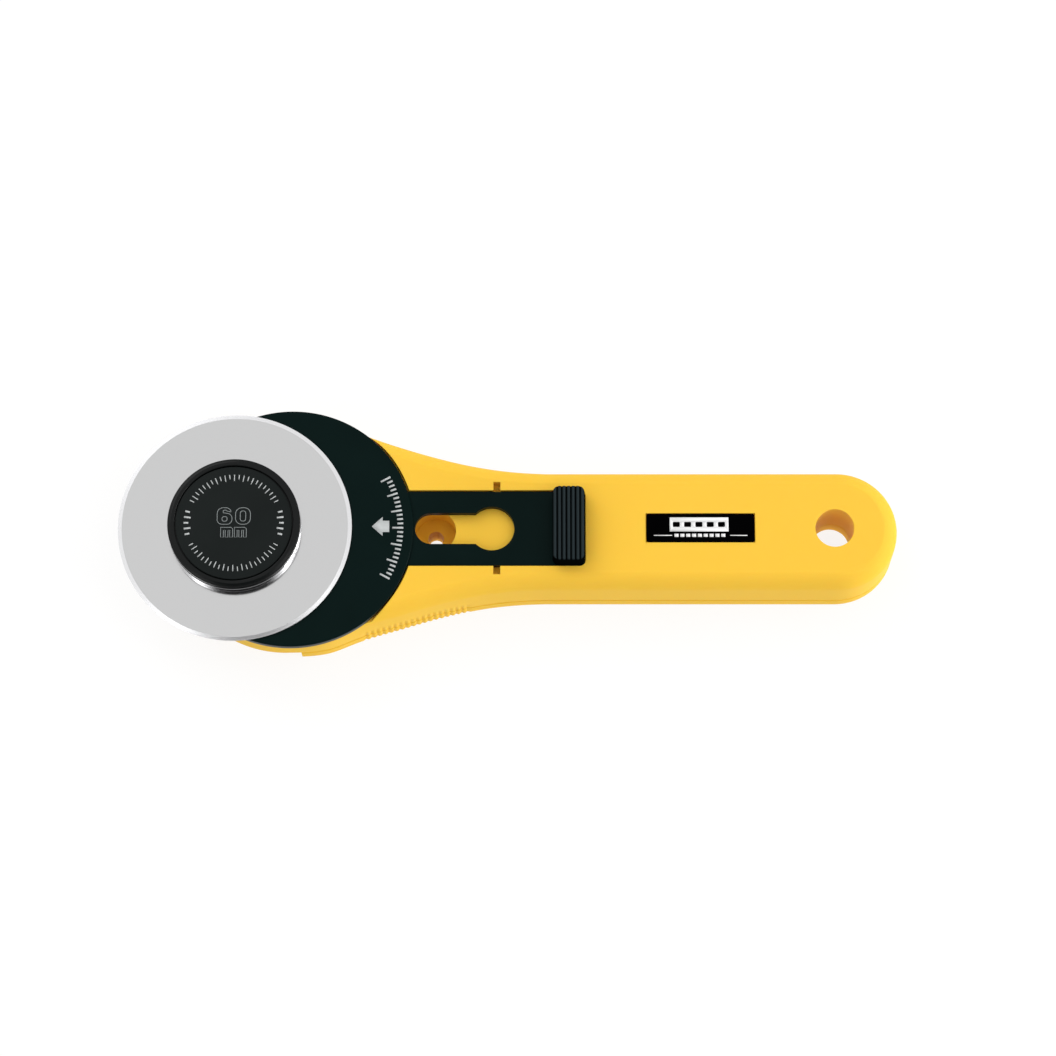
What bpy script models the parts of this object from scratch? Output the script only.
"""Rotary cutter with a round blade, a sliding blade cover and a two-piece handle.

The cutter lies on its back: +Z points out of its front face, +X runs from the blade
to the tail of the handle. Shapes are drawn from the blade's axis and hung from an
empty there, which puts the origin under the middle of the whole cutter.
"""
import math

import bmesh
import bpy
from mathutils import Vector

# Overall
OVERALL_LENGTH = 0.2002
BLADE_R = 0.030
PIVOT_X = BLADE_R - OVERALL_LENGTH / 2
GAP = 0.0003
OVERCUT = 0.002

# Handle section
HANDLE_TOP_Z = 0.020
FRONT_ROUND = 0.0045
FRONT_ROUND_ANGLE = 82
BACK_ROUND = 0.0015
COVER_TOP_Z = 0.0050
BODY_BOTTOM_Z = COVER_TOP_Z + GAP

# Blade cover: a disc with an arm that slides in the handle's channel
COVER_TRAVEL = 0.0145
COVER_DISC_R = 0.0313
COVER_DISC_THICKNESS = 0.0027
RECESS_DEPTH = 0.0029
RECESS_Z = HANDLE_TOP_Z - RECESS_DEPTH
RECESS_R = COVER_DISC_R + 0.0005
COVER_Z = RECESS_Z + GAP
COVER_DISC_TOP_Z = COVER_Z + COVER_DISC_THICKNESS
ARM_LENGTH = 0.0439
ARM_HALF_WIDTH = 0.0098
ARM_THICKNESS = 0.0020
ARM_TOP_Z = COVER_Z + ARM_THICKNESS
ARM_END_X = COVER_TRAVEL + COVER_DISC_R + ARM_LENGTH
ARM_SIDE_FIT = GAP
SLOT_HALF_WIDTH = 0.0041
SLOT_START_X = COVER_TRAVEL + COVER_DISC_R + 0.0004
KEYHOLE_R = 0.0058
KEYHOLE_X = ARM_END_X - 0.0238

# Ears that hold the arm down, in grooves entered through two notches
EAR_X = ARM_END_X - 0.0053
EAR_LENGTH = 0.0014
EAR_REACH = 0.0021
EAR_HEIGHT = 0.0007
EAR_GROOVE_HEIGHT = 0.0012
NOTCH_LENGTH = 0.0018
NOTCH_REACH = EAR_REACH + 0.0004
NOTCH_X = EAR_X - COVER_TRAVEL - 0.0027

# Thumb grip on the arm
THUMB_LENGTH = 0.0082
THUMB_HEIGHT = 0.0060
THUMB_CHAMFER = 0.0006
THUMB_RIDGES = 6
THUMB_GROOVE = 0.0004
THUMB_CORNER = 0.0018
THUMB_X = ARM_END_X - THUMB_LENGTH / 2
THUMB_PEG_Y = 0.0055
THUMB_PEG_DEPTH = 0.0012
PEG_R = 0.0015
PEG_FIT = 0.0001

# Handle outline, from the blade's axis. The neck's stations are shares of the way
# along it, and of the way from the grip's half width to the head's radius. Its ribbed
# side, at -Y, is a little slimmer than its plain side.
HEAD_X = COVER_TRAVEL - 0.0017
HEAD_R = COVER_DISC_R - 0.0018
GRIP_HALF_WIDTH = 0.01545
NECK_LENGTH = 0.0672
GRIP_START_X = HEAD_X + NECK_LENGTH
PLAIN_NECK = [(0.0, 1.0), (0.107, 0.993), (0.182, 0.936), (0.256, 0.815), (0.405, 0.559),
              (0.554, 0.338), (0.702, 0.160), (0.851, 0.046), (1.0, 0.0), (1.15, 0.0)]
RIBBED_NECK = [(0.0, 1.0), (0.095, 0.985), (0.173, 0.922), (0.286, 0.712), (0.439, 0.490),
               (0.592, 0.272), (0.744, 0.107), (0.870, 0.030), (1.0, 0.0), (1.15, 0.0)]
TAIL_X = OVERALL_LENGTH - BLADE_R - GRIP_HALF_WIDTH
COVER_FRONT_X = HEAD_X + 0.0039

# Finger ribs on the lower side of the neck, left between grooves cut into it
RIB_START_X = HEAD_X + 0.0206
RIB_COUNT = 18
RIB_PITCH = 0.00145
RIB_GROOVE = 0.0004
RIB_TOP_Z = COVER_TOP_Z + 0.0042

# Blade, the boss it lies on, and its bolt
BLADE_THICKNESS = 0.0003
BLADE_BEVEL = 0.0010
BOSS_R = 0.0050
BOSS_TOP_Z = COVER_DISC_TOP_Z + 0.0002
BLADE_GAP = 0.0001
BLADE_Z = BOSS_TOP_Z + BLADE_GAP
JOURNAL_R = 0.0040
RUNNING_FIT = 0.00005
NECK_FLATS = 0.0064
NECK_R = JOURNAL_R - 0.0001
BOLT_FIT = 0.0001
SHANK_R = 0.0030
BOLT_END_Z = 0.0012
FLANGE_R = 0.0171
FLANGE_HEIGHT = 0.0020
FLANGE_STEP = 0.0004
FLANGE_Z = BLADE_Z + BLADE_THICKNESS + BLADE_GAP
CAP_FIT = 0.0001
CAP_Z = FLANGE_Z + FLANGE_HEIGHT + CAP_FIT
CAP_RING_R = FLANGE_R - 0.0001
CAP_RING_HEIGHT = 0.0021
CAP_RING_BORE_R = 0.0080
CAP_FLOOR = 0.0009
CAP_DISC_R = 0.0149
CAP_DISC_SINK = 0.0002
CAP_DISC_HUB_R = 0.0064
STUD_R = 0.0060
STUD_HEIGHT = 0.0010

# Nut and spring washer under the head
POCKET_DEPTH = 0.0032
POCKET_TOP_Z = BODY_BOTTOM_Z + POCKET_DEPTH
WASHER_R = 0.0080
WASHER_THICKNESS = 0.0005
WASHER_BOW = 0.0006
WASHER_PLAY = 0.0004
WASHER_Z = POCKET_TOP_Z - WASHER_PLAY - WASHER_BOW - WASHER_THICKNESS
NUT_R = 0.0125
NUT_BOTTOM_Z = 0.0005
NUT_TOP_Z = WASHER_Z - PEG_FIT
NUT_LOBES = 12
NUT_SCALLOP = 0.0009
INSERT_R = 0.0055
POCKET_R = NUT_R + 0.0010

# Wells, holes and hollow of the handle
WELL_X = KEYHOLE_X - COVER_TRAVEL
WELL_R = KEYHOLE_R - 0.0005
WELL_FLOOR_Z = RECESS_Z - 0.0081
WELL_HOLE_R = 0.0020
HANG_X = TAIL_X - 0.0008
HANG_R = 0.0050
CAVITY_START_X = WELL_X + WELL_R + 0.0053
CAVITY_END_X = HANG_X - HANG_R - 0.0060
CAVITY_HALF_WIDTH = GRIP_HALF_WIDTH - 0.00365
CAVITY_TOP_Z = RECESS_Z - 0.0023
CAVITY_CORNER = 0.004
COVER_PEG_X = (HEAD_X + 0.0152, ARM_END_X + 0.010, CAVITY_END_X - 0.007)
COVER_PEG_TOP_Z = COVER_TOP_Z + 0.0070
POST_R = 0.0035

# Label
LABEL_X = HANG_X - 0.0345
LABEL_LENGTH = 0.0277
LABEL_WIDTH = 0.0074
LABEL_CORNER = 0.0002
LABEL_THICKNESS = 0.0005
LABEL_DEPTH = 0.0007
LABEL_FIT = 0.0002

CIRCLE = 80
SMALL_CIRCLE = 40


# Outlines, as lists of (x, y)

def arc(x, y, radius, start, end, steps):
    """Points on an arc, both ends included, with its angles in degrees."""
    points = []
    for i in range(steps + 1):
        angle = math.radians(start + (end - start) * i / steps)
        points.append((x + radius * math.cos(angle), y + radius * math.sin(angle)))
    return points


def circle(x, radius, steps=SMALL_CIRCLE):
    return arc(x, 0, radius, 0, 360, steps)[:-1]


def rounded_box(x0, x1, half_width, corner, steps=5):
    """A rectangle about the X axis, with its four corners rounded."""
    centres = [(x1 - corner, half_width - corner), (x0 + corner, half_width - corner),
               (x0 + corner, corner - half_width), (x1 - corner, corner - half_width)]
    points = []
    for quarter, (x, y) in enumerate(centres):
        points += arc(x, y, corner, 90 * quarter, 90 * quarter + 90, steps)
    return points


def box(x0, x1, half_width):
    return [(x0, -half_width), (x1, -half_width), (x1, half_width), (x0, half_width)]


def stadium(x0, x1, radius, steps=16):
    """A slot with round ends centred at x0 and x1."""
    return arc(x1, 0, radius, -90, 90, steps) + arc(x0, 0, radius, 90, 270, steps)


def keyhole():
    """The arm's slot: a round hole with a narrower slot towards the disc."""
    half_angle = math.degrees(math.asin(SLOT_HALF_WIDTH / KEYHOLE_R))
    slot_x = SLOT_START_X + SLOT_HALF_WIDTH
    wide = arc(KEYHOLE_X, 0, KEYHOLE_R, half_angle - 180, 180 - half_angle, 32)
    return wide + arc(slot_x, 0, SLOT_HALF_WIDTH, 90, 270, 14)


def double_flat(radius, flats, steps=10):
    """A circle cut by two flats, for the bolt's neck and the bore it fits."""
    half_angle = math.degrees(math.asin(flats / 2 / radius))
    right = arc(0, 0, radius, -half_angle, half_angle, steps)
    return right + [(-x, -y) for x, y in right]


def smooth_through(points, x):
    """Height at x of a smooth curve through the points (Catmull-Rom)."""
    last = len(points) - 2
    i = next((k for k in range(last) if x < points[k + 1][0]), last)
    (x1, y1), (x2, y2) = points[i], points[i + 1]
    x0, y0 = points[max(i - 1, 0)]
    x3, y3 = points[min(i + 2, last + 1)]
    t = (x - x1) / (x2 - x1)
    m1 = (y2 - y0) / (x2 - x0) * (x2 - x1)
    m2 = (y3 - y1) / (x3 - x1) * (x2 - x1)
    cubic = (2 * t ** 3 - 3 * t ** 2 + 1) * y1 + (t ** 3 - 2 * t ** 2 + t) * m1
    return cubic + (3 * t ** 2 - 2 * t ** 3) * y2 + (t ** 3 - t ** 2) * m2


def neck_half_width(x, neck):
    share = smooth_through(neck, (x - HEAD_X) / NECK_LENGTH)
    return GRIP_HALF_WIDTH + (HEAD_R - GRIP_HALF_WIDTH) * share


def spread(x0, x1, count):
    """The places that part x0 to x1 into count equal steps, both ends included."""
    return [x0 + (x1 - x0) * i / count for i in range(count + 1)]


def side(neck_xs, neck):
    """One side of the handle's outline, from the head's front to the tail's end."""
    head = arc(HEAD_X, 0, HEAD_R, 180, 90, 18)[:-1]
    tail = arc(TAIL_X, 0, GRIP_HALF_WIDTH, 90, 0, 12)
    return head + [(x, neck_half_width(x, neck)) for x in neck_xs] + tail


def handle_outline():
    """The handle's outline, anticlockwise from the head's front, with rib stations."""
    rib_end_x = RIB_START_X + RIB_COUNT * RIB_PITCH
    ribbed = spread(HEAD_X, RIB_START_X, 7)[:-1] + spread(RIB_START_X, rib_end_x, 2 * RIB_COUNT)
    ribbed += spread(rib_end_x, GRIP_START_X, 6)[1:]
    lower = [(x, -y) for x, y in side(ribbed, RIBBED_NECK)]
    upper = side(spread(HEAD_X, GRIP_START_X, 20), PLAIN_NECK)
    return lower + upper[::-1][1:-1]


def outward(outline):
    """Unit normals of an anticlockwise outline, at its points."""
    normals = []
    for i, (x, y) in enumerate(outline):
        before = Vector(outline[i - 1])
        after = Vector(outline[(i + 1) % len(outline)])
        along = (after - before).normalized()
        normals.append((along.y, -along.x))
    return normals


def rib_groove(x, y):
    """Depth of the groove at this station: every second station is a rib's crest."""
    station = (x - RIB_START_X) / (RIB_PITCH / 2)
    on_ribs = y < 0 and -0.5 < station < 2 * RIB_COUNT + 0.5
    return RIB_GROOVE if on_ribs and round(station) % 2 == 0 else 0.0


def handle_ring(z, inset, ribs=False):
    """The handle's outline at height z, moved in by inset."""
    outline = handle_outline()
    ring = []
    for (x, y), (nx, ny) in zip(outline, outward(outline)):
        move = inset + (rib_groove(x, y) if ribs else 0.0)
        ring.append((x - nx * move, y - ny * move, z))
    return ring


# Solids

def mesh_object(name, bm):
    """A smooth-shaded object from a closed bmesh, with its faces pointing out."""
    bmesh.ops.recalc_face_normals(bm, faces=bm.faces)
    mesh = bpy.data.meshes.new(name)
    bm.to_mesh(mesh)
    bm.free()
    mesh.shade_smooth()
    mesh.set_sharp_from_angle(angle=math.radians(35))
    obj = bpy.data.objects.new(name, mesh)
    bpy.context.scene.collection.objects.link(obj)
    return obj


def skin(name, rings, looped=False):
    """A solid skinned over rings of equal length: capped, or closed round a loop."""
    bm = bmesh.new()
    rows = [[bm.verts.new(point) for point in ring] for ring in rings]
    pairs = list(zip(rows, rows[1:]))
    if looped:
        pairs.append((rows[-1], rows[0]))
    else:
        bm.faces.new(rows[0][::-1])
        bm.faces.new(rows[-1])
    for low, high in pairs:
        for i in range(len(low)):
            j = (i + 1) % len(low)
            bm.faces.new((low[i], low[j], high[j], high[i]))
    return mesh_object(name, bm)


def prism(name, outline, z0, z1):
    return skin(name, [[(x, y, z) for x, y in outline] for z in (z0, z1)])


def turned(name, profile, looped=False, steps=CIRCLE):
    """A solid turned about the blade's axis from (radius, z) points."""
    rings = [[(x, y, z) for x, y in circle(0, radius, steps)] for radius, z in profile]
    return skin(name, rings, looped)


def boolean(obj, other, operation):
    """Cuts other out of obj, or joins it on, and keeps it as a hidden guide."""
    modifier = obj.modifiers.new(other.name, "BOOLEAN")
    modifier.operation = operation
    modifier.solver = "EXACT"
    modifier.object = other
    other.hide_render = True
    other.display_type = "WIRE"


def cut(obj, *cutters):
    for cutter in cutters:
        boolean(obj, cutter, "DIFFERENCE")


def join(obj, *pieces):
    for piece in pieces:
        boolean(obj, piece, "UNION")


def material(name, colour, roughness, metallic=0.0):
    mat = bpy.data.materials.new(name)
    mat.use_nodes = True
    shader = mat.node_tree.nodes["Principled BSDF"]
    shader.inputs["Base Color"].default_value = (*colour, 1.0)
    shader.inputs["Roughness"].default_value = roughness
    shader.inputs["Metallic"].default_value = metallic
    return mat


# Handle

def recess_outline():
    """The disc's recess over the head, running on into the arm's channel."""
    channel_y = ARM_HALF_WIDTH + ARM_SIDE_FIT
    meet = math.degrees(math.asin(channel_y / RECESS_R))
    end_x = ARM_END_X + GAP
    front_x = HEAD_X - HEAD_R - OVERCUT
    lower = [(front_x, -RECESS_R)] + arc(COVER_TRAVEL, 0, RECESS_R, -90, -meet, 24)
    lower.append((end_x, -channel_y))
    return lower + [(x, -y) for x, y in reversed(lower)]


def bolt_bore():
    return prism("bolt_bore", double_flat(JOURNAL_R + BOLT_FIT, NECK_FLATS + 2 * BOLT_FIT),
                 -OVERCUT, BOSS_TOP_Z + OVERCUT)


def handle_blank():
    """The front shell before it is cut: straight sides and a rounded front edge, which
    meets the flat face at a slight angle."""
    last = math.radians(FRONT_ROUND_ANGLE)
    rings = [handle_ring(BODY_BOTTOM_Z, 0.0, ribs=True), handle_ring(RIB_TOP_Z, 0.0, ribs=True),
             handle_ring(RIB_TOP_Z + RIB_GROOVE, 0.0)]
    for angle in spread(0.0, last, 6):
        drop = FRONT_ROUND * (1 - math.sin(angle) / math.sin(last))
        rings.append(handle_ring(HANDLE_TOP_Z - drop, FRONT_ROUND * (1 - math.cos(angle))))
    return skin("handle_body", rings)


def handle_body():
    body = handle_blank()
    top = HANDLE_TOP_Z + OVERCUT
    cut(body, prism("disc_recess", recess_outline(), RECESS_Z, top))
    join(body, turned("boss", [(BOSS_R, RECESS_Z - OVERCUT), (BOSS_R, BOSS_TOP_Z)],
                      steps=SMALL_CIRCLE))
    groove_y = ARM_HALF_WIDTH + NOTCH_REACH
    notch_x = NOTCH_X - NOTCH_LENGTH / 2
    groove_end_x = EAR_X + EAR_LENGTH / 2 + GAP
    cut(body,
        bolt_bore(),
        prism("nut_pocket", circle(0, POCKET_R), -OVERCUT, POCKET_TOP_Z),
        prism("ear_grooves", box(notch_x, groove_end_x, groove_y),
              RECESS_Z, RECESS_Z + EAR_GROOVE_HEIGHT),
        prism("ear_notches", box(notch_x, notch_x + NOTCH_LENGTH, groove_y), RECESS_Z, top),
        prism("well", circle(WELL_X, WELL_R), WELL_FLOOR_Z, top),
        prism("body_well_hole", circle(WELL_X, WELL_HOLE_R, 24), -OVERCUT, top),
        prism("body_hang_hole", circle(HANG_X, HANG_R), -OVERCUT, top),
        prism("hollow", rounded_box(CAVITY_START_X, CAVITY_END_X, CAVITY_HALF_WIDTH,
                                    CAVITY_CORNER), -OVERCUT, CAVITY_TOP_Z),
        prism("label_recess", box(LABEL_X - LABEL_LENGTH / 2 - LABEL_FIT,
                                  LABEL_X + LABEL_LENGTH / 2 + LABEL_FIT,
                                  LABEL_WIDTH / 2 + LABEL_FIT), HANDLE_TOP_Z - LABEL_DEPTH, top))
    for x in COVER_PEG_X[1:]:
        join(body, prism(f"post_{x * 1000:.0f}", circle(x, POST_R, 24),
                         BODY_BOTTOM_Z, CAVITY_TOP_Z + OVERCUT / 2))
    for x in COVER_PEG_X:
        cut(body, prism(f"socket_{x * 1000:.0f}", circle(x, PEG_R + PEG_FIT, 20),
                        -OVERCUT, COVER_PEG_TOP_Z + GAP))
    return body


def handle_back_cover():
    rings = []
    for angle in spread(0.0, math.pi / 2, 3):
        rings.append(handle_ring(BACK_ROUND * (1 - math.cos(angle)),
                                 BACK_ROUND * (1 - math.sin(angle)), ribs=angle > 0.5))
    rings.append(handle_ring(COVER_TOP_Z, 0.0, ribs=True))
    cover = skin("handle_back_cover", rings)
    below = -OVERCUT
    above = COVER_TOP_Z + OVERCUT
    cut(cover,
        prism("front_trim", box(HEAD_X - HEAD_R - OVERCUT, COVER_FRONT_X, HEAD_R + OVERCUT),
              below, above),
        prism("cover_well_hole", circle(WELL_X, WELL_HOLE_R, 24), below, above),
        prism("cover_hang_hole", circle(HANG_X, HANG_R), below, above))
    for x in COVER_PEG_X:
        join(cover, prism(f"peg_{x * 1000:.0f}", circle(x, PEG_R, 20),
                          COVER_TOP_Z - OVERCUT, COVER_PEG_TOP_Z))
    return cover


def label_plate():
    bottom = HANDLE_TOP_Z - LABEL_DEPTH + GAP
    return prism("label_plate", rounded_box(LABEL_X - LABEL_LENGTH / 2, LABEL_X + LABEL_LENGTH / 2,
                                            LABEL_WIDTH / 2, LABEL_CORNER, 2),
                 bottom, bottom + LABEL_THICKNESS)


# Blade cover

def arm_outline():
    """The arm, from inside the disc to its end under the thumb grip."""
    return box(COVER_TRAVEL, ARM_END_X, ARM_HALF_WIDTH)


def blade_cover():
    edge = 0.0005
    top = COVER_DISC_TOP_Z + OVERCUT
    profile = [(COVER_DISC_R, COVER_Z), (COVER_DISC_R, COVER_DISC_TOP_Z - edge),
               (COVER_DISC_R - edge, COVER_DISC_TOP_Z)]
    rings = [[(x, y, z) for x, y in circle(COVER_TRAVEL, r, CIRCLE)] for r, z in profile]
    cover = skin("blade_cover", rings)
    join(cover, prism("arm", arm_outline(), COVER_Z, ARM_TOP_Z))
    join(cover, prism("ears", box(EAR_X - EAR_LENGTH / 2, EAR_X + EAR_LENGTH / 2,
                                  ARM_HALF_WIDTH + EAR_REACH), COVER_Z, COVER_Z + EAR_HEIGHT))
    cut(cover,
        prism("boss_slot", stadium(0, COVER_TRAVEL, BOSS_R + GAP), 0, top),
        prism("keyhole", keyhole(), 0, top))
    for sign in (-1, 1):
        socket = prism(f"thumb_socket_{sign + 1}", thumb_peg_outline(sign, PEG_R + PEG_FIT),
                       ARM_TOP_Z - THUMB_PEG_DEPTH, top)
        cut(cover, socket)
    return cover


def thumb_peg_outline(sign, radius):
    return [(x, y + sign * THUMB_PEG_Y) for x, y in circle(THUMB_X, radius, 20)]


def thumb_grip():
    """A block on the arm, with upright sides and ridges that run across its crown."""
    bottom = ARM_TOP_Z + PEG_FIT
    top = ARM_TOP_Z + THUMB_HEIGHT
    x0, x1 = THUMB_X - THUMB_LENGTH / 2, THUMB_X + THUMB_LENGTH / 2
    rings = []
    for z, inset in ((bottom, 0.0), (top - THUMB_CHAMFER, 0.0), (top, THUMB_CHAMFER)):
        outline = rounded_box(x0 + inset, x1 - inset, ARM_HALF_WIDTH - inset,
                              THUMB_CORNER - inset)
        rings.append([(x, y, z) for x, y in outline])
    grip = skin("thumb_grip", rings)
    pitch = (THUMB_LENGTH - 0.0008) / THUMB_RIDGES
    for i in range(1, THUMB_RIDGES):
        x = THUMB_X + (i - THUMB_RIDGES / 2) * pitch
        cut(grip, ridge_groove(f"groove_{i}", x, top))
    for sign in (-1, 1):
        join(grip, prism(f"thumb_peg_{sign + 1}", thumb_peg_outline(sign, PEG_R),
                         bottom - THUMB_PEG_DEPTH + PEG_FIT + GAP / 3, bottom + PEG_FIT))
    return grip


def ridge_groove(name, x, top):
    """A V-shaped cutter that runs across the crown and down its two ends."""
    reach = ARM_HALF_WIDTH + OVERCUT
    rings = []
    for y in (-reach, reach):
        rings.append([(x - THUMB_GROOVE, y, top + THUMB_GROOVE), (x, y, top - THUMB_GROOVE * 1.4),
                      (x + THUMB_GROOVE, y, top + THUMB_GROOVE)])
    return skin(name, rings)


# Blade, bolt and nut

def rotary_blade():
    bore = JOURNAL_R + RUNNING_FIT
    middle = BLADE_THICKNESS / 2
    lip = 0.00002
    top = BLADE_Z + BLADE_THICKNESS
    inner = BLADE_R - BLADE_BEVEL
    profile = [(bore, BLADE_Z), (inner, BLADE_Z), (BLADE_R, BLADE_Z + middle - lip),
               (BLADE_R, BLADE_Z + middle + lip), (inner, top), (bore, top)]
    return turned("rotary_blade", profile, looped=True)


def bolt():
    """Stepped chrome head, round journal for the blade, flat-sided neck and shank."""
    step = FLANGE_STEP
    flange_top = FLANGE_Z + FLANGE_HEIGHT
    profile = [(JOURNAL_R, BLADE_Z), (JOURNAL_R, FLANGE_Z),
               (FLANGE_R - step, FLANGE_Z), (FLANGE_R, FLANGE_Z + step),
               (FLANGE_R, FLANGE_Z + 2.5 * step), (FLANGE_R - step, FLANGE_Z + 2.8 * step),
               (FLANGE_R - step, flange_top), (STUD_R, flange_top),
               (STUD_R, CAP_Z + STUD_HEIGHT)]
    head = turned("bolt", profile)
    join(head, prism("bolt_neck", double_flat(NECK_R, NECK_FLATS), POCKET_TOP_Z,
                     BLADE_Z + BLADE_THICKNESS / 2))
    tip = 0.0005
    join(head, turned("bolt_shank", [(SHANK_R - tip, BOLT_END_Z), (SHANK_R, BOLT_END_Z + tip),
                                     (SHANK_R, POCKET_TOP_Z + OVERCUT)], steps=SMALL_CIRCLE))
    return head


def bolt_cap_ring():
    """The black ring round the head, open in the middle for the printed disc."""
    edge = 0.0007
    lip = 0.0004
    floor = CAP_Z + CAP_FLOOR
    top = CAP_Z + CAP_RING_HEIGHT
    well_r = CAP_DISC_R + GAP
    profile = [(CAP_RING_BORE_R, CAP_Z), (CAP_RING_R, CAP_Z), (CAP_RING_R, top - edge),
               (CAP_RING_R - edge / 3, top - edge / 3), (CAP_RING_R - edge, top),
               (well_r + lip, top), (well_r, top - lip), (well_r, floor),
               (CAP_RING_BORE_R, floor)]
    return turned("bolt_cap_ring", profile, looped=True)


def bolt_cap_disc():
    top = CAP_Z + CAP_RING_HEIGHT - CAP_DISC_SINK
    edge = 0.0002
    profile = [(CAP_DISC_HUB_R, CAP_Z + STUD_HEIGHT + GAP),
               (CAP_DISC_R, CAP_Z + CAP_FLOOR + CAP_FIT), (CAP_DISC_R, top - edge),
               (CAP_DISC_R - edge, top)]
    return turned("bolt_cap_disc", profile)


def spring_washer():
    """A flat washer bent to a bow, so that its two ends press on the nut."""
    bore = SHANK_R + GAP
    rings = []
    for radius, lift in ((bore, 0.0), (WASHER_R, 0.0), (WASHER_R, WASHER_THICKNESS),
                         (bore, WASHER_THICKNESS)):
        rings.append([(x, y, WASHER_Z + lift + WASHER_BOW * (1 - (x / WASHER_R) ** 2))
                      for x, y in circle(0, radius)])
    return skin("spring_washer", rings, looped=True)


def lobed(radius, depth, steps):
    """A round outline with shallow scallops for the fingers."""
    points = []
    for i in range(steps):
        angle = 2 * math.pi * i / steps
        r = radius - depth * (0.5 - 0.5 * math.cos(NUT_LOBES * angle)) ** 2
        points.append((r * math.cos(angle), r * math.sin(angle)))
    return points


def nut_knob():
    edge = 0.0006
    top = NUT_TOP_Z
    levels = [(NUT_BOTTOM_Z, edge), (NUT_BOTTOM_Z + edge, 0.0), (top - edge, 0.0), (top, edge)]
    rings = []
    for z, inset in levels:
        rings.append([(x, y, z) for x, y in lobed(NUT_R - inset, NUT_SCALLOP, 8 * NUT_LOBES)])
    knob = skin("nut_knob", rings)
    cut(knob, prism("insert_seat", circle(0, INSERT_R + PEG_FIT, 6), 0, top + OVERCUT))
    return knob


def nut_insert():
    insert = prism("nut_insert", circle(0, INSERT_R, 6), NUT_BOTTOM_Z + GAP, NUT_TOP_Z)
    cut(insert, prism("insert_bore", circle(0, SHANK_R + RUNNING_FIT), 0, COVER_DISC_TOP_Z))
    return insert


def clear_scene():
    for obj in list(bpy.data.objects):
        bpy.data.objects.remove(obj, do_unlink=True)


def build():
    clear_scene()
    yellow = material("yellow_plastic", (0.97, 0.60, 0.065), 0.38)
    black = material("black_plastic", (0.010, 0.020, 0.020), 0.42)
    steel = material("blade_steel", (0.62, 0.62, 0.62), 0.32, 1.0)
    chrome = material("chrome", (0.80, 0.80, 0.80), 0.08, 1.0)
    brass = material("brass", (0.75, 0.55, 0.25), 0.35, 1.0)
    spring = material("spring_steel", (0.45, 0.45, 0.46), 0.35, 1.0)
    label = material("label_black", (0.004, 0.004, 0.005), 0.30)
    pieces = {handle_body: yellow, handle_back_cover: yellow, label_plate: label,
              blade_cover: black, thumb_grip: black, rotary_blade: steel, bolt: chrome,
              bolt_cap_ring: black, bolt_cap_disc: black, spring_washer: spring,
              nut_knob: black, nut_insert: brass}
    for make, finish in pieces.items():
        make().data.materials.append(finish)
    pivot = bpy.data.objects.new("pivot", None)
    bpy.context.scene.collection.objects.link(pivot)
    for obj in bpy.context.scene.collection.objects:
        if obj is not pivot:
            obj.parent = pivot
    pivot.location = (PIVOT_X, 0, 0)


build()
